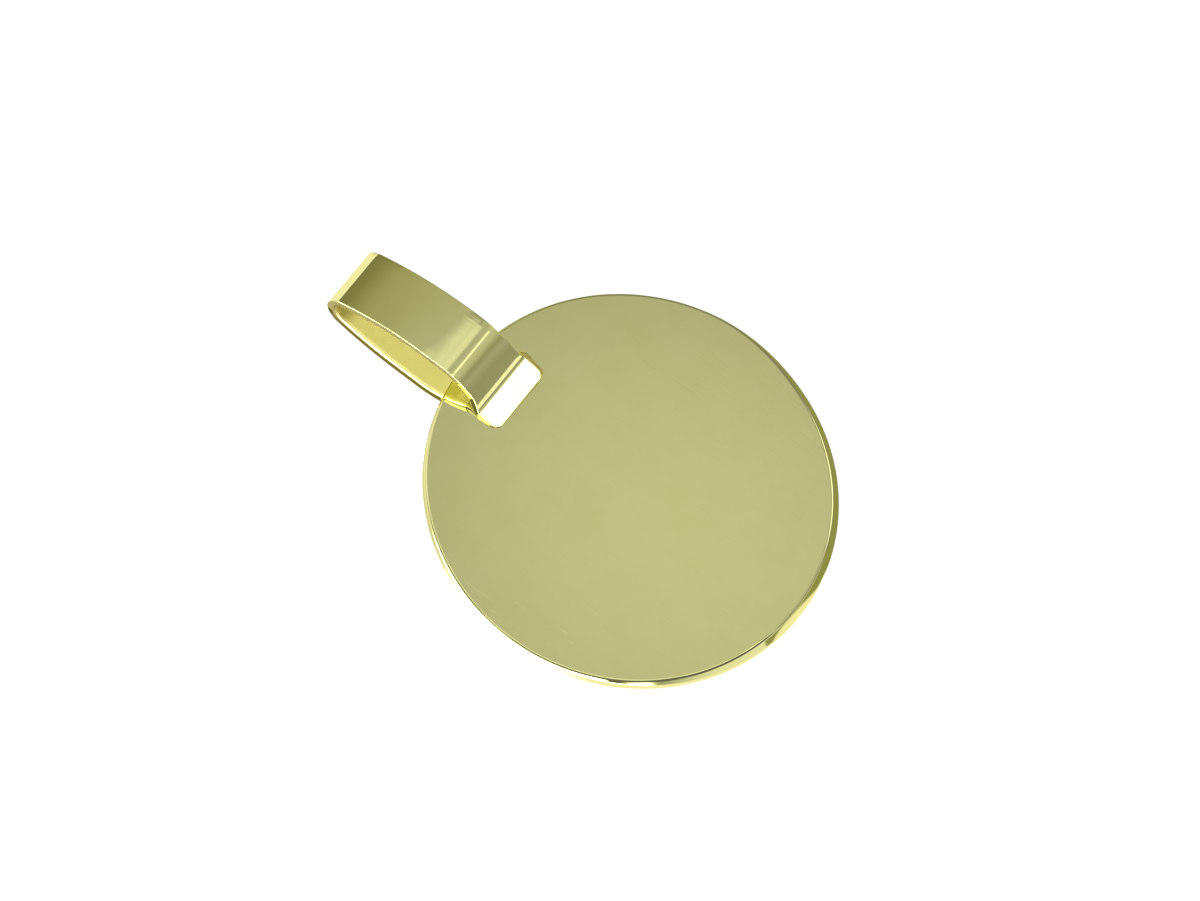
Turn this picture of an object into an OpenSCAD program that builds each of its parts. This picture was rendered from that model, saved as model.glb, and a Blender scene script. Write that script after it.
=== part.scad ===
// Round disc pendant with a soldered strip bail, in millimetres.
// The pieces are drawn in the pendant's own frame and then laid down as the pendant rests on a table.
// Pendant frame: X runs along the chain's passage, Y from the disc's centre towards the bail,
// Z out of the disc's front face, which lies at Z = 0.

/* [Disc] */
// Diameter of the disc
disc_d = 15; // [12:0.5:25]
// Thickness of the disc
disc_t = 0.5; // [0.4:0.05:0.8]
// Radius of the softened edges of the rim
rim_r = 0.12; // [0.05:0.01:0.18]

/* [Bail strip] */
// Width of the strip round the loop
strip_w = 2.45; // [1.6:0.05:3.5]
// Thickness of the strip
strip_t = 0.38; // [0.3:0.02:0.5]
// Height of the whole pendant, from the disc's lowest edge to the loop's top
pendant_h = 20.2; // [19.2:0.1:21.2]
// Depth of the loop's top behind the disc's front face, along the strip's centre line
top_depth = 0.4; // [0.2:0.05:0.6]
// Height of the front branch over the disc's front face
front_rise = 1.32; // [1.2:0.02:1.5]
// Depth of the back branch under the disc's front face
back_rise = 1.54; // [1.5:0.02:1.7]
// Bend radius at the loop's top, along the strip's centre line
top_r = 0.66; // [0.5:0.02:0.75]
// Bend radius of the two long flanks
flank_r = 9.8; // [8:0.1:11]
// Bend radius of the shoulders that come down to the disc
shoulder_r = 2.75; // [2:0.05:3]
// Bend radius of the heels, where the strip turns onto the disc
heel_r = 0.7; // [0.4:0.05:0.9]
// Straight run of the back branch between its flank and its shoulder
back_run = 1.1; // [0.6:0.1:1.4]

/* [Feet and solder] */
// Width of the two feet, where the strip is pressed a little wider
foot_w = 2.64; // [1.6:0.02:3.5]
// Distance of the feet's ends from the disc's centre line
foot_y = 5; // [4.6:0.05:5.2]
// Distance from the disc's centre line at which the feet start to narrow to the strip's width
foot_wide_y = 5.8; // [5.6:0.05:6]
// Distance over which they narrow
foot_flare = 0.6; // [0.2:0.05:1]
// Corner radius of the feet
foot_r = 0.34; // [0.2:0.02:0.5]
// Thickness of the solder between a foot and the disc
solder_t = 0.08; // [0.04:0.01:0.12]
// How far the solder shows round a foot
solder_lip = 0.12; // [0.06:0.01:0.2]

/* [Hidden] */

gold = [0.77, 0.74, 0.5];
solder_gold = [0.8, 0.73, 0.42];

round_fn = 180;
corner_fn = 48;
// Largest turn of the strip, in degrees, from one station of its profile to the next
station_turn = 3;
// How far one piece of the solid reaches into the next, so that they join
join = 0.03;

disc_r = disc_d / 2;
loop_y = pendant_h - disc_r - strip_t / 2;

// Height of the strip's centre line over the disc's front face, or its depth under it at the back
front_foot_z = solder_t + strip_t / 2;
back_foot_z = disc_t + solder_t + strip_t / 2;
front_crown = front_rise - strip_t / 2;
back_crown = back_rise - strip_t / 2;

// The flank rises what the top bend leaves of the crown's height
function flank_turn(height) = acos((flank_r - height) / (flank_r - top_r));
// The shoulder and the heel turn by one angle, and together they come down from the crown to the foot
function shoulder_turn(drop) = acos(1 - drop / (shoulder_r + heel_r));
// Distance along Y from the loop's top to the start of the shoulder, and from there to the foot
function crown_reach(flank, run) = top_r * (1 - sin(flank)) + flank_r * sin(flank) + run;
function heel_reach(turn) = (shoulder_r + heel_r) * sin(turn);

front_flank = flank_turn(front_crown + top_depth);
back_flank = flank_turn(back_crown - top_depth);
front_turn = shoulder_turn(front_crown - front_foot_z);
back_turn = shoulder_turn(back_crown - back_foot_z);
back_shoulder_y = loop_y - crown_reach(back_flank, back_run);
front_heel_y = loop_y - crown_reach(front_flank, 0) - heel_reach(front_turn);
back_heel_y = back_shoulder_y - heel_reach(back_turn);

// Columns of a branch's table: bend radius, positive towards the loop's inside and 0 on a straight
// run, then the bend's angle or the run's length
RADIUS = 0;
AMOUNT = 1;
front_branch = [
    [top_r, 90 - front_flank],
    [flank_r, front_flank],
    [shoulder_r, front_turn],
    [-heel_r, front_turn],
    [0, front_heel_y - foot_y],
];
back_branch = [
    [top_r, 90 - back_flank],
    [flank_r, back_flank],
    [0, back_run],
    [shoulder_r, back_turn],
    [-heel_r, back_turn],
    [0, back_heel_y - foot_y],
];

// A station of the strip's centre line: distance along Y and height from the loop's top, and the
// heading, which is 0 where the strip rises and 90 where it runs towards the disc
ALONG = 0;
HEIGHT = 1;
HEADING = 2;
loop_top = [0, 0, 0];

function turned(at, radius, angle) =
    let (heading = at[HEADING] + sign(radius) * angle)
    [
        at[ALONG] + radius * (cos(heading) - cos(at[HEADING])),
        at[HEIGHT] + radius * (sin(heading) - sin(at[HEADING])),
        heading,
    ];
function advanced(at, length) = [
    at[ALONG] - length * sin(at[HEADING]),
    at[HEIGHT] + length * cos(at[HEADING]),
    at[HEADING],
];
function bend_stations(at, radius, angle) =
    let (steps = ceil(angle / station_turn))
    [for (step = [1:steps]) turned(at, radius, angle * step / steps)];
function branch_stations(rows, at, index = 0) =
    index == len(rows) ? [] :
    let (radius = rows[index][RADIUS], amount = rows[index][AMOUNT])
    let (added = radius == 0 ? [advanced(at, amount)] : bend_stations(at, radius, amount))
    concat(added, branch_stations(rows, added[len(added) - 1], index + 1));

// One face of the strip: side is 1 for its outer face and -1 for its inner one, and branch is 1 at
// the front and -1 at the back
function strip_face(stations, side, branch) = [
    for (at = stations) [
        loop_y + at[ALONG] + side * strip_t / 2 * cos(at[HEADING]),
        -top_depth + branch * (at[HEIGHT] + side * strip_t / 2 * sin(at[HEADING])),
    ],
];
function reversed(list) = [for (index = [len(list) - 1:-1:0]) list[index]];

// The pendant rests on the disc's lowest back edge and on the back branch's shoulder. Both are round,
// and the tilt makes the two arcs touch one level plane.
arc_gap_y = back_shoulder_y + disc_r - rim_r;
arc_gap_z = shoulder_r - back_crown + disc_t - rim_r;
arc_gap = norm([arc_gap_y, arc_gap_z]);
rest_tilt = asin((shoulder_r + strip_t / 2 - rim_r) / arc_gap) - atan(arc_gap_z / arc_gap_y);
rest_lift = (disc_r - rim_r) * sin(rest_tilt) + (disc_t - rim_r) * cos(rest_tilt) + rim_r;

// Ends of the resting pendant along Y, for its middle
rest_low_y = rim_r * sin(rest_tilt) - (disc_r - rim_r) * cos(rest_tilt) - rim_r;
rest_high_y = (loop_y - top_r) * cos(rest_tilt) + top_depth * sin(rest_tilt) + top_r + strip_t / 2;

module disc_plate() {
    color(gold)
        translate([0, 0, -disc_t])
            rotate_extrude($fn = round_fn) {
                square([disc_r - rim_r, disc_t]);
                translate([0, rim_r])
                    square([disc_r, disc_t - 2 * rim_r]);
                for (edge_z = [rim_r, disc_t - rim_r])
                    translate([disc_r - rim_r, edge_z])
                        intersection() {
                            circle(r = rim_r, $fn = corner_fn);
                            translate([0, -rim_r])
                                square([rim_r, 2 * rim_r]);
                        }
            }
}

// The strip seen from its edge, from the front foot over the loop's top to the back foot
module strip_profile() {
    front = branch_stations(front_branch, loop_top);
    back = branch_stations(back_branch, loop_top);
    polygon(concat(
        reversed(strip_face(front, 1, 1)),
        strip_face([loop_top], 1, 1),
        strip_face(back, 1, -1),
        reversed(strip_face(back, -1, -1)),
        strip_face([loop_top], -1, 1),
        strip_face(front, -1, 1)
    ));
}

// A foot seen from the front: round corners at its end, straight sides up to wide_y
module foot_outline(width, end_y, wide_y, corner_r) {
    translate([-width / 2, end_y + corner_r])
        square([width, wide_y - end_y - corner_r]);
    translate([corner_r - width / 2, end_y])
        square([width - 2 * corner_r, corner_r + join]);
    for (side = [-1, 1])
        translate([side * (width / 2 - corner_r), end_y + corner_r])
            circle(r = corner_r, $fn = corner_fn);
}

// The whole strip seen from the front
module strip_outline() {
    foot_outline(foot_w, foot_y, foot_wide_y, foot_r);
    polygon([
        [-foot_w / 2, foot_wide_y - join],
        [foot_w / 2, foot_wide_y - join],
        [foot_w / 2, foot_wide_y],
        [strip_w / 2, foot_wide_y + foot_flare],
        [strip_w / 2, pendant_h],
        [-strip_w / 2, pendant_h],
        [-strip_w / 2, foot_wide_y + foot_flare],
        [-foot_w / 2, foot_wide_y],
    ]);
}

module bail_strip() {
    color(gold)
        intersection() {
            rotate([90, 0, 90])
                linear_extrude(height = 2 * foot_w, center = true)
                    strip_profile();
            linear_extrude(height = pendant_h, center = true)
                strip_outline();
        }
}

// The solder shows as a narrow lip round a foot and fills the wedge under its heel
module solder_bed(heel_y) {
    linear_extrude(height = solder_t + 2 * join)
        foot_outline(foot_w + 2 * solder_lip, foot_y - solder_lip, heel_y + solder_lip, foot_r + solder_lip);
}

module solder_seams() {
    color(solder_gold) {
        translate([0, 0, -join])
            solder_bed(front_heel_y);
        translate([0, 0, -disc_t - solder_t - join])
            solder_bed(back_heel_y);
    }
}

// The soldered pendant as one solid, lying on its back with its middle over the origin
module disc_and_bail() {
    translate([0, -(rest_low_y + rest_high_y) / 2, rest_lift])
        rotate([rest_tilt, 0, 0]) {
            disc_plate();
            bail_strip();
            solder_seams();
        }
}

disc_and_bail();
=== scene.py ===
"""Disc pendant with a soldered strip bail, in polished yellow gold.

The pieces are drawn in millimetres in the pendant's own frame: X runs along the chain's passage,
Y from the disc's centre towards the bail, and Z out of the disc's front face, which lies at Z = 0.
Each finished mesh is then laid down in the frame of the CAD model, in metres.
"""

import logging
import math
from dataclasses import dataclass, field
from enum import Enum

import bmesh
import bpy
from mathutils import Matrix, Vector


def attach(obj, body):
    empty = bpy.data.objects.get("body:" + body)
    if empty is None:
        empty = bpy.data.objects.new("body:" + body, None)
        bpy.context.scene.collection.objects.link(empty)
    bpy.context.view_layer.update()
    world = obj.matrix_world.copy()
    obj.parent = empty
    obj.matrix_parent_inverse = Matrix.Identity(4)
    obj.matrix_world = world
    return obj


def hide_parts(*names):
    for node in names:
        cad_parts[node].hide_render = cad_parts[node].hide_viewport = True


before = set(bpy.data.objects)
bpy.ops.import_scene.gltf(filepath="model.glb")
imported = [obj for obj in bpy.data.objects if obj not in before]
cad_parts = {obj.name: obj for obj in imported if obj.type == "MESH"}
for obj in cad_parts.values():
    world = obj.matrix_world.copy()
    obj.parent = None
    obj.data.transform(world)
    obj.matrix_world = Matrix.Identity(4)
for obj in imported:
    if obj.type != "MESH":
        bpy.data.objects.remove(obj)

LOG = logging.getLogger("pendant")

NODE = "disc_and_bail"
BODY = "root"
MILLIMETRE = 0.001
MERGE_MM = 0.0002
GOLD = (0.90, 0.885, 0.395)

Point = tuple[float, float]
Triple = tuple[float, float, float]
Socket = bpy.types.NodeSocket
Feed = Socket | float | int | tuple


class Branch(Enum):
    """The two legs of the bail strip, with the sign of their height over the disc's front face."""

    FRONT = 1
    BACK = -1


class NodeSheet:
    """Adds nodes to a node tree and joins them up."""

    def __init__(self, tree: bpy.types.NodeTree) -> None:
        """Keeps the tree to draw in."""
        self.tree = tree

    def sockets(self, side: str, kinds: dict[str, str]) -> None:
        """Gives the tree named inputs or outputs, each of its own kind, such as Float."""
        for label, kind in kinds.items():
            self.tree.interface.new_socket(label, in_out=side, socket_type=f"NodeSocket{kind}")

    def feed(self, socket: Socket, value: Feed) -> None:
        """Links a socket to another one, or sets its value.

        Args:
            socket: the input to feed.
            value: an output socket, or a plain value.
        """
        if isinstance(value, Socket):
            self.tree.links.new(value, socket)
        else:
            socket.default_value = value

    def add(self, kind: str, feeds: dict | None = None, **settings: object) -> bpy.types.Node:
        """Adds one node.

        Args:
            kind: the node's type name.
            feeds: the inputs to feed, by name or index.
            **settings: the node's own properties.

        Returns:
            The new node.
        """
        node = self.tree.nodes.new(kind)
        for name, value in settings.items():
            setattr(node, name, value)
        for key, value in (feeds or {}).items():
            self.feed(node.inputs[key], value)
        return node

    def math(self, operation: str, *values: Feed) -> Socket:
        """Adds a Math node and returns its result."""
        return self.add("ShaderNodeMath", dict(enumerate(values)), operation=operation).outputs[0]

    def vector(self, operation: str, *values: Feed) -> bpy.types.Node:
        """Adds a Vector Math node and returns it."""
        return self.add("ShaderNodeVectorMath", dict(enumerate(values)), operation=operation)

    def smooth(self, value: Feed, start: Feed, end: Feed, low: Feed = 0.0, high: Feed = 1.0) -> Socket:
        """Goes smoothly from low to high while value goes from start to end.

        Args:
            value: the value to map.
            start: the value at which the result is low.
            end: the value at which the result is high.
            low: the result up to start.
            high: the result from end on.

        Returns:
            The mapped value's socket.
        """
        feeds = dict(enumerate((value, start, end, low, high)))
        return self.add("ShaderNodeMapRange", feeds, interpolation_type="SMOOTHSTEP").outputs[0]

    def window(self, value: Feed, limits: Point, soft: float) -> Socket:
        """Is 1 where a value lies between two limits and 0 elsewhere, with soft edges.

        Args:
            value: the value to test.
            limits: the lower and the upper limit.
            soft: half the width of each edge.

        Returns:
            The mask's socket.
        """
        low, high = limits
        rise = self.smooth(value, low - soft, low + soft)
        return self.math("MULTIPLY", rise, self.smooth(value, high + soft, high - soft))

    def mix(self, factor: Feed, first: Feed, second: Feed) -> Socket:
        """Adds a Mix node for plain values and returns its result."""
        return self.add("ShaderNodeMix", {0: factor, 2: first, 3: second}).outputs[0]

    def blend(self, factor: Feed, first: Feed, second: Feed, mode: str = "MIX") -> Socket:
        """Adds a Mix node for colours and returns its result."""
        feeds = {0: factor, 6: first, 7: second}
        return self.add("ShaderNodeMix", feeds, data_type="RGBA", blend_type=mode).outputs[2]


@dataclass(frozen=True)
class Leg:
    """One leg of the strip, with its sizes in millimetres.

    From the loop's top down it is a flank, a straight run, a shoulder, a steep run, a heel and a foot.
    The foot starts at its own height over the disc's face, or depth under it, and slopes down to the
    disc by its pitch in radians.
    """

    rise: float
    run: float
    shoulder_r: float
    steep_run: float
    heel_r: float
    foot_z: float
    pitch: float


@dataclass(frozen=True)
class PendantSizes:
    """Sizes of the whole pendant in millimetres.

    They are the CAD model's, apart from the front leg's bends and its pitched foot, and the width of
    both feet.
    """

    disc_d: float = 15.0
    disc_t: float = 0.5
    rim_r: float = 0.12
    strip_w: float = 2.45
    strip_t: float = 0.38
    pendant_h: float = 20.2
    top_depth: float = 0.4
    top_r: float = 0.66
    flank_r: float = 9.8
    front: Leg = Leg(1.32, 0.0, 2.5, 0.05, 0.47, 0.22, math.radians(12.0))
    back: Leg = Leg(1.54, 1.1, 2.75, 0.0, 0.7, 0.77, 0.0)
    foot_w: float = 2.76
    foot_y: float = 5.04
    foot_wide_y: float = 5.9
    foot_flare: float = 0.6
    foot_r: float = 0.34

    @property
    def disc_r(self) -> float:
        """Radius of the disc."""
        return self.disc_d / 2

    @property
    def loop_y(self) -> float:
        """Place along Y of the loop's top, on the strip's centre line."""
        return self.pendant_h - self.disc_r - self.strip_t / 2

    def leg(self, branch: Branch) -> Leg:
        """The sizes of one branch."""
        return self.front if branch is Branch.FRONT else self.back

    def crown(self, branch: Branch) -> float:
        """Height of a branch's crown over the disc's front face, or its depth under it."""
        return self.leg(branch).rise - self.strip_t / 2

    def flank_turn(self, branch: Branch) -> float:
        """Angle in radians that a branch's long flank turns through."""
        height = self.crown(branch) + branch.value * self.top_depth
        return math.acos((self.flank_r - height) / (self.flank_r - self.top_r))

    def shoulder_turn(self, branch: Branch) -> float:
        """Finds the angle that a branch's shoulder turns through.

        Args:
            branch: the branch.

        Returns:
            The angle in radians.
        """
        leg = self.leg(branch)
        both = leg.shoulder_r + leg.heel_r
        left = leg.shoulder_r + leg.heel_r * math.cos(leg.pitch) - self.crown(branch) + leg.foot_z
        return math.acos(left / math.hypot(both, leg.steep_run)) - math.atan2(leg.steep_run, both)

    def shoulder_y(self, branch: Branch) -> float:
        """Finds where a branch's shoulder starts.

        Args:
            branch: the branch.

        Returns:
            The place along Y.
        """
        flank = self.flank_turn(branch)
        reach = self.top_r * (1 - math.sin(flank)) + self.flank_r * math.sin(flank)
        return self.loop_y - reach - self.leg(branch).run

    def heel_y(self, branch: Branch) -> float:
        """Finds where a branch's heel ends and its foot starts.

        Args:
            branch: the branch.

        Returns:
            The place along Y.
        """
        leg, turn = self.leg(branch), self.shoulder_turn(branch)
        reach = leg.shoulder_r * math.sin(turn) + leg.steep_run * math.cos(turn)
        return self.shoulder_y(branch) - reach - leg.heel_r * (math.sin(turn) - math.sin(leg.pitch))

    @property
    def rest_tilt(self) -> float:
        """The tilt at which the pendant rests on the disc's lowest edge and the back branch.

        Returns:
            The angle in radians.
        """
        gap_y = self.shoulder_y(Branch.BACK) + self.disc_r - self.rim_r
        gap_z = self.back.shoulder_r - self.crown(Branch.BACK) + self.disc_t - self.rim_r
        reach = self.back.shoulder_r + self.strip_t / 2 - self.rim_r
        return math.asin(reach / math.hypot(gap_y, gap_z)) - math.atan(gap_z / gap_y)

    def laid_down(self) -> Matrix:
        """Lays the pendant down on its rest points, centred along Y.

        Returns:
            The matrix from the pendant's frame in millimetres to the CAD model's frame in metres.
        """
        tilt = self.rest_tilt
        edge_r = self.disc_r - self.rim_r
        lift = edge_r * math.sin(tilt) + (self.disc_t - self.rim_r) * math.cos(tilt) + self.rim_r
        low_y = self.rim_r * math.sin(tilt) - edge_r * math.cos(tilt) - self.rim_r
        top_y = (self.loop_y - self.top_r) * math.cos(tilt) + self.top_depth * math.sin(tilt)
        high_y = top_y + self.top_r + self.strip_t / 2
        placed = Matrix.Translation((0, -(low_y + high_y) / 2, lift)) @ Matrix.Rotation(tilt, 4, "X")
        return Matrix.Scale(MILLIMETRE, 4) @ placed


def hand_over(piece: bpy.types.Object, sizes: PendantSizes) -> bpy.types.Object:
    """Lays a finished piece down in the CAD model's frame and gives it to its body.

    Args:
        piece: the object, with a mesh in the pendant's frame.
        sizes: the pendant's sizes.

    Returns:
        The same object.
    """
    form = bmesh.new()
    form.from_mesh(piece.data)
    bmesh.ops.remove_doubles(form, verts=form.verts, dist=MERGE_MM)
    bmesh.ops.recalc_face_normals(form, faces=form.faces)
    for face in form.faces:
        face.smooth = True
    form.to_mesh(piece.data)
    form.free()
    piece.data.transform(sizes.laid_down())
    piece.data.update()
    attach(piece, BODY)
    LOG.info("%s: %d faces", piece.name, len(piece.data.polygons))
    return piece


def new_piece(name: str, data: bpy.types.ID) -> bpy.types.Object:
    """Makes an object of a mesh, a curve or a camera and puts it in the scene.

    Args:
        name: the piece's name.
        data: what the object holds.

    Returns:
        The new object.
    """
    piece = bpy.data.objects.new(name, data)
    bpy.context.scene.collection.objects.link(piece)
    return piece


@dataclass(frozen=True)
class DrawnLine:
    """A poly line for a Geometry Nodes tree: its points, their radii, and whether it closes."""

    name: str
    points: list[Triple]
    radii: list[float] | None = None
    closed: bool = False

    def draw(self) -> bpy.types.Object:
        """Makes the line a curve object.

        Returns:
            The new object.
        """
        curve = bpy.data.curves.new(self.name, "CURVE")
        curve.dimensions = "3D"
        spline = curve.splines.new("POLY")
        spline.points.add(len(self.points) - 1)
        spline.use_cyclic_u = self.closed
        for index, place in enumerate(self.points):
            spline.points[index].co = (*place, 1.0)
            spline.points[index].radius = self.radii[index] if self.radii else 1.0
        return new_piece(self.name, curve)


class SweptTree:
    """A Geometry Nodes tree that sweeps a section along a path."""

    def __init__(self, name: str) -> None:
        """Starts the tree with its inputs for the path, the section and the material.

        Args:
            name: the tree's name.
        """
        self.tree = bpy.data.node_groups.new(name, "GeometryNodeTree")
        self.sheet = NodeSheet(self.tree)
        kinds = {"Geometry": "Geometry", "Path": "Object", "Section": "Object", "Material": "Material"}
        self.sheet.sockets("INPUT", kinds)
        self.sheet.sockets("OUTPUT", {"Geometry": "Geometry"})
        self.inputs = self.sheet.add("NodeGroupInput")

    def sizes(self, *labels: str) -> list[Socket]:
        """Adds a named input for each size and returns their sockets."""
        self.sheet.sockets("INPUT", dict.fromkeys(labels, "Float"))
        return [self.inputs.outputs[label] for label in labels]

    def drawn(self, label: str) -> Socket:
        """The curve of the object that an input names."""
        node = self.sheet.add("GeometryNodeObjectInfo", {"Object": self.inputs.outputs[label]})
        return node.outputs["Geometry"]

    def store(self, geometry: Feed, label: str, kind: str, value: Feed) -> Socket:
        """Stores a value on each point under a name.

        Args:
            geometry: the curve or mesh.
            label: the attribute's name.
            kind: its data type.
            value: its value.

        Returns:
            The geometry's socket.
        """
        feeds = {"Geometry": geometry, "Name": label, "Value": value}
        node = self.sheet.add("GeometryNodeStoreNamedAttribute", feeds, data_type=kind, domain="POINT")
        return node.outputs[0]

    def stored(self, label: str, kind: str) -> Socket:
        """The value that was stored under a name."""
        node = self.sheet.add("GeometryNodeInputNamedAttribute", {"Name": label}, data_type=kind)
        return node.outputs[0]

    def sweep(self, path: Feed, scale: Feed, caps: bool) -> Socket:
        """Sweeps the section along a path.

        Args:
            path: the curve to follow.
            scale: the section's scale along it.
            caps: whether the ends are closed.

        Returns:
            The mesh's socket.
        """
        feeds = {"Curve": path, "Profile Curve": self.drawn("Section"), "Scale": scale, "Fill Caps": caps}
        return self.sheet.add("GeometryNodeCurveToMesh", feeds).outputs[0]

    def finish(self, mesh: Feed) -> None:
        """Ends the tree: merged points, smooth faces, real geometry and its material.

        Args:
            mesh: the mesh's socket.
        """
        merged = self.sheet.add("GeometryNodeMergeByDistance", {"Geometry": mesh, "Distance": MERGE_MM})
        smooth = self.sheet.add("GeometryNodeSetShadeSmooth", {"Geometry": merged.outputs[0]})
        real = self.sheet.add("GeometryNodeRealizeInstances", {"Geometry": smooth.outputs[0]})
        feeds = {"Geometry": real.outputs[0], "Material": self.inputs.outputs["Material"]}
        dressed = self.sheet.add("GeometryNodeSetMaterial", feeds)
        self.sheet.add("NodeGroupOutput", {"Geometry": dressed.outputs[0]})

    def make(self, name: str, path: DrawnLine, section: DrawnLine, material: bpy.types.Material,
             sizes: dict[str, float] | None = None) -> bpy.types.Object:
        """Runs the tree once and keeps its result as a plain mesh.

        Args:
            name: the new piece's name.
            path: the line to follow.
            section: the section to sweep.
            material: the piece's material.
            sizes: the values of the named inputs.

        Returns:
            The piece, with its mesh in the pendant's frame.
        """
        lines = [path.draw(), section.draw()]
        piece = new_piece(name, bpy.data.meshes.new(name))
        modifier = piece.modifiers.new(self.tree.name, "NODES")
        modifier.node_group = self.tree
        values = {"Path": lines[0], "Section": lines[1], "Material": material, **(sizes or {})}
        for item in self.tree.interface.items_tree:
            if item.in_out == "INPUT" and item.name in values:
                modifier[item.identifier] = values[item.name]
        bpy.context.view_layer.update()
        evaluated = piece.evaluated_get(bpy.context.evaluated_depsgraph_get())
        mesh = bpy.data.meshes.new_from_object(evaluated)
        piece.modifiers.clear()
        piece.data = mesh
        mesh.name = name
        for line in lines:
            bpy.data.objects.remove(line)
        return piece


def arc(centre: Point, radius: float, start: float, end: float, steps: int) -> list[Point]:
    """Points on an arc, both ends among them.

    Args:
        centre: the arc's centre.
        radius: its radius.
        start: its first angle in degrees.
        end: its last angle in degrees.
        steps: the number of steps between them.

    Returns:
        The points.
    """
    angles = [math.radians(start + (end - start) * step / steps) for step in range(steps + 1)]
    return [(centre[0] + radius * math.cos(a), centre[1] + radius * math.sin(a)) for a in angles]


def eased(value: float, start: float, end: float) -> float:
    """Goes smoothly from 0 to 1 while value goes from start to end."""
    share = min(max((value - start) / (end - start), 0.0), 1.0)
    return share * share * (3 - 2 * share)


@dataclass
class DiscPlate:
    """The round plate: a faintly crowned polished face, a flat back, and a rim worn on one side.

    The wear is a soft bevel round the rim's front edge. It is full in one direction and fades out to
    both sides of it. Angles are in degrees, and a support ring keeps the shading flat beside an edge.
    """

    sizes: PendantSizes
    crown_r: float = 420.0
    edge_r: float = 0.13
    worn_edge_r: float = 0.16
    bevel_turn: float = 48.0
    bevel_length: float = 0.27
    bevel_rings: tuple[float, ...] = (0.02, 0.98, 1.0)
    worn_towards: float = -52.0
    worn_full: float = 30.0
    worn_none: Point = (128.0, 66.0)
    support: float = 0.004
    back_support: float = 0.01
    back_ring_r: float = 3.5
    segments: int = 288
    face_rings: int = 30
    upper_steps: int = 12
    side_steps: int = 8
    rim_steps: int = 12

    def wear(self, angle: float) -> float:
        """How worn the rim is at an angle round the disc, from 0 to 1."""
        away = (angle - self.worn_towards + 180) % 360 - 180
        return eased(abs(away), self.worn_none[away > 0], self.worn_full)

    def front_edge(self, wear: float) -> list[Point]:
        """The rim's front edge from the face to the side, as (radius, depth under the rim's edge).

        Args:
            wear: how worn the rim is, from 0 to 1.

        Returns:
            The same number of points for any wear.
        """
        upper_r = self.edge_r + (self.worn_edge_r - self.edge_r) * wear
        points = []
        for step in range(self.upper_steps + 1):
            turn = math.radians(self.bevel_turn * step / self.upper_steps)
            points.append((upper_r * math.sin(turn), -upper_r * (1 - math.cos(turn))))
        slope = math.radians(self.bevel_turn)
        length = self.support + self.bevel_length * wear
        start = points[-1]
        for share in self.bevel_rings:
            run = share * length
            points.append((start[0] + run * math.cos(slope), start[1] - run * math.sin(slope)))
        start = points[-1]
        for step in range(1, self.side_steps + 1):
            turn = math.radians(self.bevel_turn + (90 - self.bevel_turn) * step / self.side_steps)
            out = self.edge_r * (math.sin(turn) - math.sin(slope))
            down = self.edge_r * (math.cos(turn) - math.cos(slope))
            points.append((start[0] + out, start[1] + down))
        reach = points[-1][0]
        return [(self.sizes.disc_r - reach + out, down) for out, down in points]

    def profile(self, wear: float) -> list[Point]:
        """The whole profile from the centre of the front round to the centre of the back.

        Args:
            wear: how worn the rim is, from 0 to 1.

        Returns:
            The points as (radius, height over the rim's front edge).
        """
        edge = self.front_edge(wear)
        face_r = edge[0][0]
        radii = [face_r * step / self.face_rings for step in range(self.face_rings)]
        front = [(radius, self.face_height(radius)) for radius in (*radii, face_r - self.support)]
        front += [(radius, self.face_height(radius) + down) for radius, down in edge]
        rim_r, low = self.sizes.rim_r, -self.sizes.disc_t
        flat_r = self.sizes.disc_r - rim_r
        rim = arc((flat_r, rim_r + low), rim_r, 0, -90, self.rim_steps)
        back = [(radius, low) for radius in (flat_r - self.back_support, self.back_ring_r, 0.0)]
        return front + rim + back

    def face_height(self, radius: float) -> float:
        """Height of the crowned face over the rim at a distance from its centre."""
        reach = self.sizes.disc_r - self.edge_r
        return (reach * reach - radius * radius) / (2 * self.crown_r)

    def build(self, material: bpy.types.Material) -> bpy.types.Object:
        """Turns the profile round the disc's axis.

        Args:
            material: the plate's material.

        Returns:
            The plate.
        """
        form = bmesh.new()
        turns = [360 * step / self.segments for step in range(self.segments)]
        profiles = [self.profile(self.wear(turn)) for turn in turns]
        rings = []
        for index, (first_radius, first_height) in enumerate(profiles[0]):
            if first_radius == 0:
                rings.append([form.verts.new((0, 0, first_height))] * self.segments)
                continue
            ring = []
            for turn, profile in zip(turns, profiles):
                radius, height = profile[index]
                a = math.radians(turn)
                ring.append(form.verts.new((radius * math.cos(a), radius * math.sin(a), height)))
            rings.append(ring)
        for inner, outer in zip(rings, rings[1:]):
            for step in range(self.segments):
                corners = (inner[step], outer[step], outer[step - 1], inner[step - 1])
                form.faces.new(list(dict.fromkeys(corners)))
        mesh = bpy.data.meshes.new("disc_plate")
        form.to_mesh(mesh)
        form.free()
        mesh.materials.append(material)
        return hand_over(new_piece("disc_plate", mesh), self.sizes)


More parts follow.
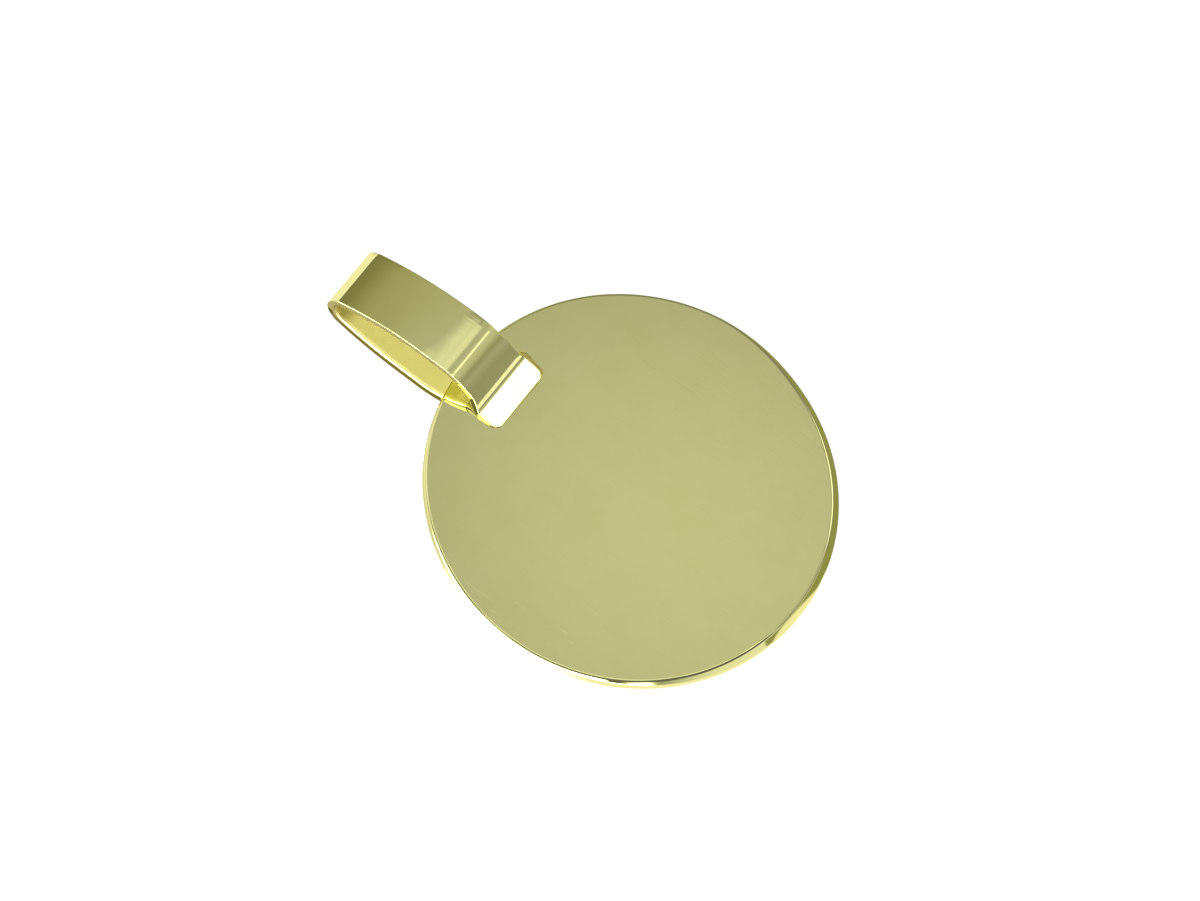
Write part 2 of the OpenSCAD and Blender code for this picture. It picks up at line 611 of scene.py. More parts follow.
@dataclass
class BailStrip:
    """The flat strip, bent into a loop over the disc's edge, with a foot at each end.

    The front leg rolls a little about its far edge in two stages: over the long flank, and again
    between the shoulder and the heel. Rolls, slopes and the turn per station are in degrees. The
    inner limits say how near a point is to the strip's inner face, as a share of half its thickness.
    """

    sizes: PendantSizes
    edge_r: float = 0.03
    inner_r: float = 0.16
    end_r: float = 0.03
    support: float = 0.004
    station_turn: float = 1.0
    flank_roll: float = 2.0
    flank_roll_y: Point = (10.2, 8.2)
    heel_roll: float = 1.2
    heel_roll_y: Point = (7.2, 6.4)
    inner_limits: Point = (-0.55, -0.97)
    # Along Y, where the painted shade on the loop's inside fades in at the tip and at the root by the
    # feet.
    painted_shade_tip_y: Point = (11.5, 12.2)
    painted_shade_root_y: Point = (6.75, 6.15)
    far_slope: float = 6.0
    far_width: float = 0.3
    corner_steps: int = 10
    edge_steps: int = 6
    side_steps: int = 8
    face_steps: tuple[float, ...] = (0.1, 0.15, 0.2, 0.26, 0.33)
    rows: dict[Branch, list[Point]] = field(default_factory=dict)

    def __post_init__(self) -> None:
        """Fills in both branches' bends as (radius, angle or length), from the loop's top down."""
        sizes = self.sizes
        for branch in Branch:
            leg, flank, turn = sizes.leg(branch), sizes.flank_turn(branch), sizes.shoulder_turn(branch)
            rows = [
                (sizes.top_r, math.pi / 2 - flank),
                (sizes.flank_r, flank),
                (0.0, leg.run),
                (leg.shoulder_r, turn),
                (0.0, leg.steep_run),
                (-leg.heel_r, turn - leg.pitch),
                (0.0, (sizes.heel_y(branch) - sizes.foot_y) / math.cos(leg.pitch)),
            ]
            self.rows[branch] = [row for row in rows if row[1]]

    def foot_steps(self) -> list[float]:
        """Finds where a foot's corners and its end need a station.

        Returns:
            The distances from the foot's end, largest first.
        """
        quarter = [math.radians(90 * step / self.corner_steps) for step in range(self.corner_steps + 1)]
        steps = {round(self.sizes.foot_r * (1 - math.cos(turn)), 5) for turn in quarter}
        steps |= {round(self.end_r * (1 - math.cos(turn)), 5) for turn in quarter[::2]}
        return sorted(steps, reverse=True)

    def branch_line(self, branch: Branch) -> list[Triple]:
        """The centre line of one branch, from just under the loop's top to the foot's end.

        Args:
            branch: the branch.

        Returns:
            The line's points in the pendant's frame.
        """
        along, height, heading = 0.0, 0.0, 0.0
        line = []
        for index, (radius, amount) in enumerate(self.rows[branch]):
            if radius:
                steps = math.ceil(math.degrees(amount) / self.station_turn)
                for _ in range(steps):
                    after = heading + math.copysign(amount / steps, radius)
                    along += radius * (math.cos(after) - math.cos(heading))
                    height += radius * (math.sin(after) - math.sin(heading))
                    heading = after
                    line.append((along, height))
                continue
            last = index == len(self.rows[branch]) - 1
            stops = [amount - step for step in self.foot_steps()] if last else [amount]
            stops = [self.support, *[stop for stop in stops if stop > 2 * self.support]]
            for stop in stops:
                line.append((along - stop * math.sin(heading), height + stop * math.cos(heading)))
            along -= amount * math.sin(heading)
            height += amount * math.cos(heading)
        top = -self.sizes.top_depth
        return [(0.0, self.sizes.loop_y + out, top + branch.value * up) for out, up in line]

    def path(self) -> DrawnLine:
        """The strip's centre line from the front foot over the loop's top to the back foot.

        Returns:
            The line.
        """
        top = (0.0, self.sizes.loop_y, -self.sizes.top_depth)
        front = self.branch_line(Branch.FRONT)[::-1]
        return DrawnLine("strip_path", [*front, top, *self.branch_line(Branch.BACK)])

    def section(self) -> DrawnLine:
        """The strip's section: a flat rectangle with rounded edges and points close to each.

        Returns:
            The closed line.
        """
        half_w, half_t, edge = self.sizes.strip_w / 2, self.sizes.strip_t / 2, self.edge_r
        side = half_t - edge - self.support
        corner = [(half_w, side * step / self.side_steps) for step in range(1, self.side_steps + 1)]
        corner += arc((half_w - edge, half_t - edge), edge, 0, 90, self.edge_steps)
        corner.append((half_w - edge - self.support, half_t))
        corner += [(half_w - step, half_t) for step in self.face_steps]
        points: list[Point] = []
        for across, up in ((1, 1), (-1, 1), (-1, -1), (1, -1)):
            quarter = [(across * x, up * y) for x, y in corner]
            points += quarter if across == up else quarter[::-1]
        return DrawnLine("strip_section", [(x, y, 0.0) for x, y in points], closed=True)

    def tree(self) -> SweptTree:
        """Draws the tree that sweeps the strip, widens and rounds its feet, and rolls the front leg.

        Returns:
            The finished tree.
        """
        swept = SweptTree("strip_along_path")
        sheet = swept.sheet
        half_w, foot_half_w, wide_y, narrow_y = swept.sizes(
            "Half Width", "Foot Half Width", "Wide Up To", "Narrow From")
        corner, half_t, end_r, inner_r = swept.sizes(
            "Corner Radius", "Half Thickness", "End Radius", "Inner Radius")
        length = sheet.add("GeometryNodeSplineParameter").outputs["Length"]
        total = sheet.add("GeometryNodeSplineLength").outputs["Length"]
        to_end = sheet.math("MINIMUM", length, sheet.math("SUBTRACT", total, length))
        place = sheet.add("GeometryNodeInputPosition").outputs[0]
        tangent = sheet.add("ShaderNodeSeparateXYZ", {0: sheet.add("GeometryNodeInputTangent").outputs[0]})
        turned = (0.0, sheet.math("MULTIPLY", tangent.outputs["Z"], -1.0), tangent.outputs["Y"])
        outward = sheet.add("ShaderNodeCombineXYZ", dict(enumerate(turned))).outputs[0]
        path = swept.drawn("Path")
        kept = {
            "centre": ("FLOAT_VECTOR", place),
            "outward": ("FLOAT_VECTOR", outward),
            "to_end": ("FLOAT", to_end),
        }
        for label, (kind, value) in kept.items():
            path = swept.store(path, label, kind, value)
        mesh = swept.sweep(path, 1.0, True)

        centre, outward, to_end = (swept.stored(label, kind) for label, (kind, _) in kept.items())
        gap = sheet.vector("SUBTRACT", place, centre).outputs[0]
        offset = sheet.add("ShaderNodeSeparateXYZ", {0: gap})
        middle = sheet.add("ShaderNodeSeparateXYZ", {0: centre})
        out = sheet.vector("DOT_PRODUCT", gap, outward).outputs["Value"]
        inner = sheet.smooth(sheet.math("DIVIDE", out, half_t), *self.inner_limits)
        mesh = swept.store(mesh, "inner", "FLOAT", inner)
        # Painted shade: a mask for the darker colour painted on the inside at the loop's tip and root,
        # where shade falls.
        tip = sheet.smooth(middle.outputs["Y"], *swept.sizes("Tip From", "Tip Full"))
        root = sheet.smooth(middle.outputs["Y"], *swept.sizes("Root From", "Root Full"))
        mesh = swept.store(mesh, "deep", "FLOAT", sheet.math("MAXIMUM", tip, root))

        width = sheet.smooth(middle.outputs["Y"], wide_y, narrow_y, foot_half_w, half_w)
        cut = sheet.math("ADD", self.rounding(sheet, corner, to_end),
                         self.rounding(sheet, inner_r, sheet.math("ADD", out, half_t)))
        scale = sheet.math("DIVIDE", sheet.math("SUBTRACT", width, cut), half_w)
        across = sheet.math("MULTIPLY", offset.outputs["X"], scale)
        thinned = sheet.math("SUBTRACT", half_t, self.rounding(sheet, end_r, to_end))
        thin = sheet.math("DIVIDE", thinned, half_t)
        up = sheet.math("MULTIPLY_ADD", offset.outputs["Z"], thin, middle.outputs["Z"])
        forth = sheet.math("MULTIPLY_ADD", offset.outputs["Y"], thin, middle.outputs["Y"])
        flat = sheet.add("ShaderNodeCombineXYZ", {0: across, 1: forth, 2: up}).outputs[0]
        shift = sheet.vector("SCALE", self.shift(swept, middle.outputs["Y"], across, width))
        sheet.feed(shift.inputs["Scale"], sheet.math("GREATER_THAN", middle.outputs["Z"], 0.0))
        moved = sheet.vector("ADD", flat, shift.outputs[0]).outputs[0]
        bent = sheet.add("GeometryNodeSetPosition", {"Geometry": mesh, "Position": moved})
        swept.finish(bent.outputs[0])
        return swept

    @staticmethod
    def shift(swept: SweptTree, y: Feed, across: Feed, width: Feed) -> Socket:
        """How the front leg's roll about its far edge and its softened far side move a point.

        Args:
            swept: the tree to draw in.
            y: the place along the pendant.
            across: the place across the strip.
            width: half the strip's width there.

        Returns:
            The shift's socket.
        """
        sheet = swept.sheet
        stages = []
        for part in ("Flank", "Heel"):
            start, end, roll = swept.sizes(*(f"{part} Roll {what}" for what in ("From", "Up To", "Slope")))
            stages.append(sheet.smooth(y, start, end, 0.0, roll))
        slope = sheet.math("ADD", *stages)
        far_width, far_bend = swept.sizes("Far Width", "Far Bend")
        inward = sheet.math("SUBTRACT", across, width)
        far = sheet.math("MAXIMUM", sheet.math("ADD", inward, far_width), 0.0)
        soft = sheet.math("MULTIPLY", sheet.math("MULTIPLY", far, far), far_bend)
        above = sheet.math("MULTIPLY", soft, sheet.smooth(y, *swept.sizes("Foot From", "Heel From")))
        down = sheet.math("SUBTRACT", sheet.math("MULTIPLY", inward, slope), above)
        return sheet.add("ShaderNodeCombineXYZ", {2: down}).outputs[0]

    @staticmethod
    def rounding(sheet: NodeSheet, radius: Feed, distance: Feed) -> Socket:
        """How far a round corner stands back at a distance from the edge that it rounds.

        Args:
            sheet: the sheet to draw on.
            radius: the corner's radius.
            distance: the distance from the edge.

        Returns:
            The socket of the amount.
        """
        inside = sheet.math("MAXIMUM", sheet.math("SUBTRACT", radius, distance), 0.0)
        squares = [sheet.math("MULTIPLY", side, side) for side in (radius, inside)]
        left = sheet.math("MAXIMUM", sheet.math("SUBTRACT", *squares), 0.0)
        return sheet.math("SUBTRACT", radius, sheet.math("SQRT", left))

    def build(self, material: bpy.types.Material) -> bpy.types.Object:
        """Sweeps the strip.

        Args:
            material: the strip's material.

        Returns:
            The strip.
        """
        sizes = self.sizes
        values = {
            "Half Width": sizes.strip_w / 2,
            "Foot Half Width": sizes.foot_w / 2,
            "Wide Up To": sizes.foot_wide_y,
            "Narrow From": sizes.foot_wide_y + sizes.foot_flare,
            "Corner Radius": sizes.foot_r,
            "Half Thickness": sizes.strip_t / 2,
            "End Radius": self.end_r,
            "Inner Radius": self.inner_r,
            "Tip From": self.painted_shade_tip_y[0],
            "Tip Full": self.painted_shade_tip_y[1],
            "Root From": self.painted_shade_root_y[0],
            "Root Full": self.painted_shade_root_y[1],
            "Flank Roll From": self.flank_roll_y[0],
            "Flank Roll Up To": self.flank_roll_y[1],
            "Flank Roll Slope": math.tan(math.radians(self.flank_roll)),
            "Heel Roll From": self.heel_roll_y[0],
            "Heel Roll Up To": self.heel_roll_y[1],
            "Heel Roll Slope": math.tan(math.radians(self.heel_roll)),
            "Far Width": self.far_width,
            "Far Bend": math.tan(math.radians(self.far_slope)) / (2 * self.far_width),
            "Foot From": sizes.foot_wide_y,
            "Heel From": sizes.foot_wide_y + sizes.foot_flare,
        }
        strip = self.tree().make("bail_strip", self.path(), self.section(), material, values)
        return hand_over(strip, sizes)


@dataclass
class SolderSeam:
    """The solder round one foot: a hollow fillet on the disc's face.

    The back seam has one size. The front one grows from its near size to its far size towards the
    side where the foot stands off the disc, and it gains the share of its pool again by the heel.
    """

    sizes: PendantSizes
    branch: Branch
    near: float = 0.03
    far: float = 0.17
    back: float = 0.12
    inset: float = 0.03
    past_heel: float = 0.25
    rise_x: Point = (1.12, 1.33)
    pool: float = 0.8
    pool_y: Point = (5.3, 6.1)
    hollow_r: float = 1.25
    hollow_steps: int = 14
    buried: Point = (-0.9, -0.4)
    steps: int = 12

    def outline(self) -> DrawnLine:
        """The line round the foot on the disc's face, with the fillet's size at each point.

        Returns:
            The closed line.
        """
        sizes = self.sizes
        half_w, low = sizes.foot_w / 2 - self.inset, sizes.foot_y + self.inset
        high, corner = sizes.heel_y(self.branch) + self.past_heel, sizes.foot_r - self.inset
        flat: list[Point] = []
        for across, end, start in ((1, high, 0), (-1, high, 90), (-1, low, 180), (1, low, 270)):
            up = 1 if end == high else -1
            centre = (across * (half_w - corner), end - up * corner)
            bend = arc(centre, corner, start, start + 90, self.steps)
            if flat:
                flat += self.between(flat[-1], bend[0])
            flat += bend
        flat += self.between(flat[-1], flat[0])
        front = self.branch is Branch.FRONT
        level = 0.0 if front else -sizes.disc_t
        points = [(x if front else -x, y, level) for x, y in flat]
        return DrawnLine("solder_path", points, [self.size_at(x, y) for x, y, _ in points], closed=True)

    def size_at(self, x: float, y: float) -> float:
        """Finds the fillet's size at one place.

        Args:
            x: the place across the foot.
            y: the place along it.

        Returns:
            The size in millimetres.
        """
        if self.branch is Branch.BACK:
            return self.back
        rise = eased(x, *self.rise_x) * (1 + self.pool * eased(y, *self.pool_y))
        return self.near + (self.far - self.near) * rise

    def between(self, first: Point, last: Point) -> list[Point]:
        """Points on the straight run between two corners, without its ends."""
        shares = [step / self.steps for step in range(1, self.steps)]
        return [(first[0] + (last[0] - first[0]) * s, first[1] + (last[1] - first[1]) * s) for s in shares]

    def section(self) -> DrawnLine:
        """The fillet's section for a size of 1: it leaves the foot steeply and runs out flat.

        Returns:
            The closed line. Its left and its low side are buried in the foot and in the disc.
        """
        hollow = arc((self.hollow_r, self.hollow_r), self.hollow_r, 180, 270, self.hollow_steps)
        left, low = self.buried
        points = [(left, 1.0), (left, low), (self.hollow_r, low), *hollow[::-1], (hollow[0][0], 1.0)]
        unique = [point for index, point in enumerate(points) if point != points[index - 1]]
        side = 1 if self.branch is Branch.FRONT else -1
        return DrawnLine("solder_section", [(x, side * y, 0.0) for x, y in unique], closed=True)

    def tree(self) -> SweptTree:
        """Draws the tree that sweeps the fillet round the foot.

        Returns:
            The finished tree.
        """
        swept = SweptTree("solder_round_foot")
        radius = swept.sheet.add("GeometryNodeInputRadius").outputs[0]
        swept.finish(swept.sweep(swept.drawn("Path"), radius, False))
        return swept

    def build(self, material: bpy.types.Material) -> bpy.types.Object:
        """Sweeps the seam.

        Args:
            material: the solder's material.

        Returns:
            The seam.
        """
        name = f"solder_{self.branch.name.lower()}"
        return hand_over(self.tree().make(name, self.outline(), self.section(), material), self.sizes)


@dataclass(frozen=True)
class PolishMarks:
    """The marks of polishing: faint waves, clouds of uneven gloss and tint, and hairlines.

    The scales are in cycles per metre, and the hairlines' turn is in degrees.
    """

    wave_scale: float = 260.0
    cloud_scale: float = 700.0
    hair_scale: Triple = (9000.0, 500.0, 2000.0)
    hair_turn: float = 38.0
    hair_limits: Point = (0.56, 0.75)
    tint: Triple = (0.985, 0.97, 0.93)
    tint_limits: Point = (0.35, 0.75)

    def group(self) -> bpy.types.NodeTree:
        """Builds the shader group that all the gold shares.

        Returns:
            The group. Its inputs are a finish's colour and how strong each mark is.
        """
        tree = bpy.data.node_groups.new("polish_marks", "ShaderNodeTree")
        sheet = NodeSheet(tree)
        sheet.sockets("INPUT", {
            "Vector": "Vector", "Colour": "Color", "Roughness": "Float", "Spread": "Float",
            "Waviness": "Float", "Hairlines": "Float",
        })
        sheet.sockets("OUTPUT", {"Colour": "Color", "Roughness": "Float", "Height": "Float"})
        inputs = sheet.add("NodeGroupInput").outputs
        place, colour = inputs["Vector"], inputs["Colour"]
        wave = self.noise(sheet, place, self.wave_scale, 2.0, 0.4)
        cloud = self.noise(sheet, place, self.cloud_scale, 4.0, 0.6)
        turn = (0.0, 0.0, math.radians(self.hair_turn))
        feeds = {"Vector": place, "Rotation": turn, "Scale": self.hair_scale}
        turned = sheet.add("ShaderNodeMapping", feeds).outputs[0]
        hair = sheet.smooth(self.noise(sheet, turned, 1.0, 3.0, 0.6), *self.hair_limits)
        rough = sheet.math("MULTIPLY_ADD", cloud, inputs["Spread"], inputs["Roughness"])
        waves = sheet.math("MULTIPLY", wave, inputs["Waviness"])
        height = sheet.math("SUBTRACT", waves, sheet.math("MULTIPLY", hair, inputs["Hairlines"]))
        tinted = sheet.blend(1.0, colour, (*self.tint, 1.0), "MULTIPLY")
        warm = sheet.blend(sheet.smooth(cloud, *self.tint_limits), colour, tinted)
        sheet.add("NodeGroupOutput", {"Colour": warm, "Roughness": rough, "Height": height})
        return tree

    @staticmethod
    def noise(sheet: NodeSheet, place: Feed, scale: float, detail: float, roughness: float) -> Socket:
        """Adds a noise pattern and returns its value."""
        feeds = {"Vector": place, "Scale": scale, "Detail": detail, "Roughness": roughness}
        return sheet.add("ShaderNodeTexNoise", feeds).outputs["Fac"]


@dataclass(frozen=True)
class GoldFinish:
    """A polished gold: its colour, its gloss and how strongly the polish shows.

    A piece whose mesh has the attribute "inner" takes the inner colour and gloss where it is 1, and
    a darker colour there as painted shade where its shade attribute is 1, at the loop's tip and root.
    """

    name: str
    colour: Triple
    roughness: float
    roughness_spread: float
    waviness: float
    hairlines: float
    metallic: float = 1.0
    inner_colour: Triple | None = None
    # Painted shade: the darker colour painted on the inside at the loop's tip and root.
    painted_shade_colour: Triple = (0.5, 0.44, 0.12)
    inner_roughness: float = 0.2
    inner_metallic: float = 0.3

    def material(self, polish: bpy.types.NodeTree) -> bpy.types.Material:
        """Builds the material.

        Args:
            polish: the shared group that draws the marks of polishing.

        Returns:
            The material.
        """
        material = bpy.data.materials.new(self.name)
        material.use_nodes = True
        sheet = NodeSheet(material.node_tree)
        shader = material.node_tree.nodes["Principled BSDF"]
        place = sheet.add("ShaderNodeTexCoord").outputs["Object"]
        marks = sheet.add("ShaderNodeGroup", node_tree=polish)
        feeds = {
            "Vector": place, "Colour": (*self.colour, 1.0), "Roughness": self.roughness,
            "Spread": self.roughness_spread, "Waviness": self.waviness, "Hairlines": self.hairlines,
        }
        for label, value in feeds.items():
            sheet.feed(marks.inputs[label], value)
        shader.inputs["Metallic"].default_value = self.metallic
        colour, roughness = marks.outputs["Colour"], marks.outputs["Roughness"]
        if self.inner_colour:
            masks = [sheet.add("ShaderNodeAttribute", attribute_name=label) for label in ("inner", "deep")]
            inner, deep = (mask.outputs["Fac"] for mask in masks)
            # Painted shade: darkens the inside towards the loop's tip and root.
            inner_with_painted_shade = sheet.blend(deep, (*self.inner_colour, 1.0), (*self.painted_shade_colour, 1.0))
            colour = sheet.blend(inner, colour, inner_with_painted_shade)
            roughness = sheet.mix(inner, roughness, self.inner_roughness)
            sheet.feed(shader.inputs["Metallic"], sheet.mix(inner, self.metallic, self.inner_metallic))
        sheet.feed(shader.inputs["Base Color"], colour)
        sheet.feed(shader.inputs["Roughness"], roughness)
        bump = sheet.add("ShaderNodeBump", {"Height": marks.outputs["Height"]})
        bump.inputs["Strength"].default_value = 1.0
        bump.inputs["Distance"].default_value = MILLIMETRE
        sheet.feed(shader.inputs["Normal"], bump.outputs[0])
        return material


def grey(level: float) -> tuple[float, float, float, float]:
    """A grey of one level, with full alpha."""
    return (level, level, level, 1.0)


@dataclass(frozen=True)
class SkyPatch:
    """A soft patch of the studio's surroundings.

    It spans a range of X and a range of tilt, the angle in degrees from straight up towards +Y, and
    each edge is soft over its own width. It can end at a height, the direction's Z.
    """

    x_range: Point
    tilt_range: Point
    radiance: float
    x_soft: float = 0.05
    tilt_soft: float = 4.0
    top: float | None = None
    top_soft: float = 0.04

    def mask(self, sheet: NodeSheet, across: Feed, tilt: Feed, height: Feed) -> Socket:
        """How much of the patch shows in one direction.

        Args:
            sheet: the sheet to draw on.
            across: the direction's X.
            tilt: its tilt.
            height: its Z.

        Returns:
            The socket of the share, from 0 to 1.
        """
        mask = sheet.math("MULTIPLY", sheet.window(across, self.x_range, self.x_soft),
                          sheet.window(tilt, self.tilt_range, self.tilt_soft))
        if self.top is None:
            return mask
        under = sheet.smooth(height, self.top + self.top_soft, self.top - self.top_soft)
        return sheet.math("MULTIPLY", mask, under)


@dataclass(frozen=True)
class SkySpot:
    """A soft round spot of the surroundings: its direction, its radii in degrees and its radiance."""

    direction: Triple
    inner: float
    outer: float
    radiance: float

    def mask(self, sheet: NodeSheet, direction: Feed) -> Socket:
        """How much of the spot shows in one direction.

        Args:
            sheet: the sheet to draw on.
            direction: the direction.

        Returns:
            The socket of the share, from 0 to 1.
        """
        axis = Vector(self.direction).normalized()
        along = sheet.vector("DOT_PRODUCT", direction, tuple(axis)).outputs["Value"]
        angle = sheet.math("DEGREES", sheet.math("ARCCOSINE", along))
        return sheet.smooth(angle, self.outer, self.inner)


@dataclass(frozen=True)
class FloorBand:
    """A soft band of painted light and shade on the table as the gold mirrors it: its ranges in
    millimetres and its light.
    """

    x_range: Point
    y_range: Point
    light: Triple
    soft: float = 0.15

    def mask(self, sheet: NodeSheet, across: Feed, along: Feed) -> Socket:
        """How much of the band shows at one place of the table, from 0 to 1."""
        shown = sheet.window(across, self.x_range, self.soft)
        return sheet.math("MULTIPLY", shown, sheet.window(along, self.y_range, self.soft))


@dataclass(frozen=True)
class FloorSpot:
    """A soft round spot of painted light and shade on the table as the gold mirrors it: its place and
    radii in millimetres.
    """

    centre: Point
    inner: float
    outer: float
    light: Triple

    def mask(self, sheet: NodeSheet, across: Feed, along: Feed) -> Socket:
        """How much of the spot shows at one place of the table.

        Args:
            sheet: the sheet to draw on.
            across: the place's X.
            along: its Y.

        Returns:
            The socket of the share, from 0 to 1.
        """
        place = sheet.add("ShaderNodeCombineXYZ", {0: across, 1: along}).outputs[0]
        gap = sheet.vector("DISTANCE", place, (*self.centre, 0.0)).outputs["Value"]
        return sheet.smooth(gap, self.outer, self.inner)


@dataclass
class Studio:
    """A white table under soft light, the surroundings that the gold mirrors, and the camera.

    Towards +X the surroundings follow the ramp, whose stops are (tilt in degrees, level, warmth), and
    elsewhere they are plain. On that side the table is painted darker, a painted shade that only the
    gold's mirrored rays see, from an edge in X that slants off past a place along Y. Sky patches and
    spots, and the table's zones of painted light and shade, lie over this in their order.
    """

    sizes: PendantSizes
    floor_reach: float = 3.0
    floor_white: float = 0.8
    floor_glow: float = 0.7
    mirrored_white: Triple = (1.0, 0.965, 0.89)
    mirrored_painted_shade: Triple = (0.3, 0.3, 0.15)
    dark_x: Point = (2.1, 2.5)
    dark_bend_y: float = 9.4
    dark_bend: float = -0.45
    plain_radiance: float = 0.85
    ramp_x: Point = (0.2, 0.32)
    camera_right: Triple = (0.5884, 0.1559, -0.7934)
    camera_up: Triple = (0.7104, 0.3691, 0.5993)
    camera_distance: float = 1200.0
    sensor_width: float = 36.0
    clip: Point = (0.01, 20.0)
    frame_width: float = 42.67
    disc_offset: Point = (1.1485, -1.3477)
    ramp: tuple[Triple, ...] = (
        (-90, 1.05, 0.0), (-84.5, 1.05, 0.0), (-83, 0.34, 0.2), (-63, 0.32, 0.2), (-50.8, 0.40, 0.0),
        (-40.8, 0.32, 0.35), (-30, 0.54, 0.2), (-22.5, 0.60, 0.0), (-14.5, 0.46, 0.0), (-8, 0.5, 0.0),
        (-3, 0.37, 0.0), (5, 0.35, 0.1), (9, 0.49, 0.1), (18, 0.455, 0.3),
        (29.5, 0.42, 0.5), (42.5, 0.37, 0.7), (52.5, 0.24, 1.0), (67.5, 0.22, 1.0), (75.3, 0.22, 1.0),
        (75.7, 1.0, 0.0), (90, 1.0, 0.0),
    )
    patches: tuple[SkyPatch, ...] = (
        SkyPatch((-0.7, -0.2), (-45, 35), 0.17, 0.03, 4.0),
        SkyPatch((-0.54, -0.2), (-80, 50), 0.17, 0.03, 6.0),
        SkyPatch((-1.2, -0.59), (-95, 95), 9.5, 0.05, 3.0, 0.33),
        SkyPatch((0.66, 1.1), (-95, 95), 0.22, 0.06, 3.0),
        SkyPatch((0.1, 0.335), (-9.5, 6.5), 0.84, 0.01, 2.5),
        SkyPatch((0.1, 0.294), (-56, -24), 0.62, 0.01, 5.0),
        SkyPatch((0.1, 0.294), (-24.5, -17.5), 2.9, 0.01, 1.0),
        SkyPatch((0.3, 0.36), (-22.2, -20.2), 1.4, 0.01, 0.8),
        SkyPatch((-0.78, 0.25), (-76, -20), 0.15, 0.02, 4.0),
    )
    spots: tuple[SkySpot, ...] = (
        SkySpot((-0.386, 0.106, 0.916), 3.0, 5.0, 1.5),
        SkySpot((0.381, 0.03, 0.92), 0.0, 6.0, 0.61),
        SkySpot((0.77, -0.37, 0.52), 8.0, 18.0, 1.5),
    )
    # The table's painted light and shade for mirrored rays: the dark bands under the bail are painted
    # shadow, the bright spot and stripe are painted pools of light.
    painted_floor_light_and_shade: tuple[FloorBand | FloorSpot, ...] = (
        FloorSpot((-8.5, -2.2), 2.5, 4.0, (2.6, 2.5, 2.3)),
        FloorSpot((-4.9, 4.0), 2.0, 4.0, (0.72, 0.70, 0.56)),
        FloorBand((-2.9, -1.72), (4.6, 10.9), (0.51, 0.45, 0.36), 0.1),
        FloorBand((-1.74, -1.60), (4.6, 10.9), (0.16, 0.13, 0.04), 0.03),
        FloorBand((-1.60, -1.22), (4.6, 11.4), (0.24, 0.2, 0.07), 0.03),
        FloorBand((-1.24, 1.3), (2.0, 10.1), (0.22, 0.17, 0.05), 0.04),
        FloorBand((1.4, 2.0), (2.5, 10.6), (1.0, 0.98, 0.95), 0.12),
    )

    def sky(self) -> None:
        """Builds the surroundings as a pattern of the direction that a ray looks in."""
        world = bpy.data.worlds.new("studio")
        bpy.context.scene.world = world
        world.use_nodes = True
        sheet = NodeSheet(world.node_tree)
        direction = sheet.add("ShaderNodeTexCoord").outputs["Generated"]
        parts = sheet.add("ShaderNodeSeparateXYZ", {0: direction})
        across = parts.outputs["X"]
        tilt = sheet.math("DEGREES", sheet.math("ARCTAN2", parts.outputs["Y"], parts.outputs["Z"]))
        place = sheet.math("DIVIDE", sheet.math("ADD", tilt, 90.0), 180.0)
        ramp = sheet.add("ShaderNodeValToRGB", {0: place})
        stops = ramp.color_ramp.elements
        for index, (angle, level, warmth) in enumerate(self.ramp):
            at = (angle + 90) / 180
            stop = stops[index] if index < 2 else stops.new(at)
            stop.position = at
            stop.color = (level, level * (1 - 0.05 * warmth), level * (1 - 0.45 * warmth), 1.0)
        side = sheet.smooth(across, *self.ramp_x)
        light = sheet.blend(side, grey(self.plain_radiance), ramp.outputs[0])
        for patch in self.patches:
            shown = patch.mask(sheet, across, tilt, parts.outputs["Z"])
            light = sheet.blend(shown, light, grey(patch.radiance))
        for spot in self.spots:
            light = sheet.blend(spot.mask(sheet, direction), light, grey(spot.radiance))
        background = world.node_tree.nodes["Background"]
        sheet.feed(background.inputs["Color"], light)
        background.inputs["Strength"].default_value = 1.0

    def floor(self) -> None:
        """Lays a plain white table under the pendant. For the rays that the gold mirrors it glows instead
        with its own light, painted with shadow under the bail and with pools of light.
        """
        reach = self.floor_reach
        mesh = bpy.data.meshes.new("table")
        corners = [(-reach, -reach, 0), (reach, -reach, 0), (reach, reach, 0), (-reach, reach, 0)]
        mesh.from_pydata(corners, [], [(0, 1, 2, 3)])
        table = new_piece("table", mesh)
        material = bpy.data.materials.new("table_white")
        material.use_nodes = True
        sheet = NodeSheet(material.node_tree)
        shader = material.node_tree.nodes["Principled BSDF"]
        settings = {
            "Base Color": grey(self.floor_white), "Roughness": 1.0, "Specular IOR Level": 0.0,
            "Emission Color": grey(1.0), "Emission Strength": self.floor_glow,
        }
        for label, value in settings.items():
            shader.inputs[label].default_value = value
        place = sheet.vector("SCALE", sheet.add("ShaderNodeTexCoord").outputs["Object"])
        place.inputs["Scale"].default_value = 1 / MILLIMETRE
        parts = sheet.add("ShaderNodeSeparateXYZ", {0: place.outputs[0]}).outputs
        across, along = parts["X"], parts["Y"]
        # Painted shade: past a slanting edge towards +X the mirrored table is painted darker.
        beyond = sheet.math("MAXIMUM", sheet.math("SUBTRACT", along, self.dark_bend_y), 0.0)
        dark = sheet.smooth(sheet.math("MULTIPLY_ADD", beyond, self.dark_bend, across), *self.dark_x)
        light = sheet.blend(dark, (*self.mirrored_white, 1.0), (*self.mirrored_painted_shade, 1.0))
        for zone in self.painted_floor_light_and_shade:
            light = sheet.blend(zone.mask(sheet, across, along), light, (*zone.light, 1.0))
        mirrored = sheet.add("ShaderNodeEmission", {"Color": light})
        seen = sheet.add("ShaderNodeLightPath").outputs["Is Camera Ray"]
        mixed = sheet.add("ShaderNodeMixShader", {0: seen, 1: mirrored.outputs[0], 2: shader.outputs[0]})
        output = material.node_tree.nodes["Material Output"]
        sheet.feed(output.inputs["Surface"], mixed.outputs[0])
        mesh.materials.append(material)

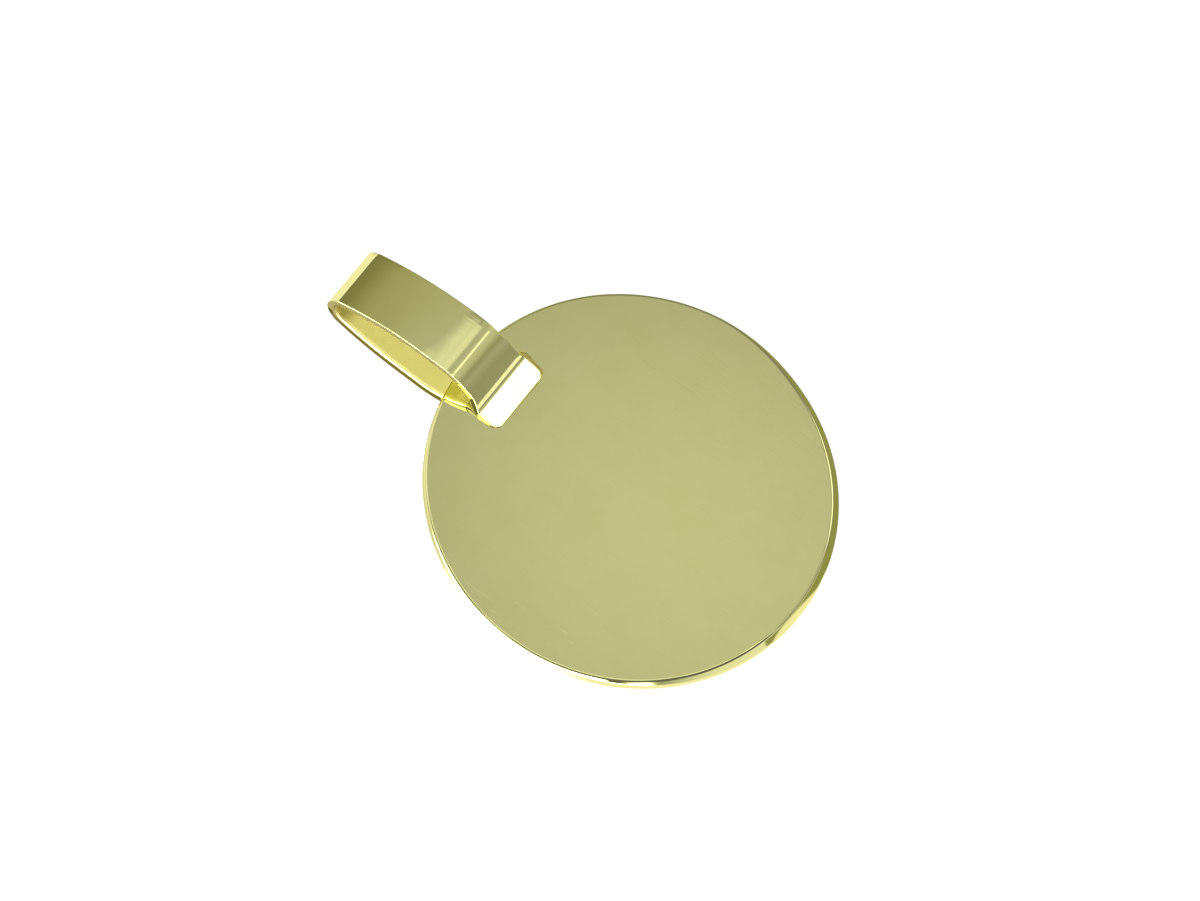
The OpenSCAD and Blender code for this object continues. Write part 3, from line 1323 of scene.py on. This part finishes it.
    def camera(self) -> None:
        """Sets the camera up at the photograph's angle."""
        laid = self.sizes.laid_down()
        turn = Matrix.Rotation(self.sizes.rest_tilt, 3, "X")

        def in_row(axis: Triple) -> Vector:
            """An axis given as (X, out of the face, towards the bail), in the CAD model's frame."""
            return (turn @ Vector((axis[0], axis[2], axis[1]))).normalized()

        right = in_row(self.camera_right)
        up = in_row(self.camera_up)
        up = (up - right * up.dot(right)).normalized()
        back = right.cross(up)
        centre = laid @ Vector((0, 0, 0))
        target = centre - (right * self.disc_offset[0] + up * self.disc_offset[1]) * MILLIMETRE
        data = bpy.data.cameras.new("camera")
        data.sensor_width = self.sensor_width
        data.lens = self.sensor_width * self.camera_distance / self.frame_width
        data.clip_start, data.clip_end = self.clip
        camera = new_piece("camera", data)
        spot = target + back * self.camera_distance * MILLIMETRE
        camera.matrix_world = Matrix.Translation(spot) @ Matrix((right, up, back)).transposed().to_4x4()
        bpy.context.scene.camera = camera

    def build(self) -> None:
        """Sets up the table, the surroundings, the camera and plain colour management."""
        self.sky()
        self.floor()
        self.camera()
        view = bpy.context.scene.view_settings
        view.view_transform = "Standard"
        view.look = "None"


def main() -> None:
    """Builds the pendant and its studio, and reports each piece."""
    logging.basicConfig(level=logging.INFO, format="%(name)s: %(message)s")
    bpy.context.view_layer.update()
    sizes = PendantSizes()
    polish = PolishMarks().group()
    finishes = (
        GoldFinish("mirror_gold", GOLD, roughness=0.015, roughness_spread=0.03, waviness=0.0006,
                   hairlines=0.0002),
        GoldFinish("bent_gold", GOLD, roughness=0.03, roughness_spread=0.04, waviness=0.012,
                   hairlines=0.0002, inner_colour=(0.98, 0.94, 0.42)),
        GoldFinish("solder_gold", (0.95, 0.8, 0.2), roughness=0.35, roughness_spread=0.1, waviness=0.01,
                   hairlines=0.0, metallic=0.1),
    )
    mirror, bent, solder = (finish.material(polish) for finish in finishes)

    plate = DiscPlate(sizes).build(mirror)
    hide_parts(NODE)
    BailStrip(sizes).build(bent)
    for branch in Branch:
        SolderSeam(sizes, branch).build(solder)
    Studio(sizes).build()


if __name__ == "__main__":
    main()
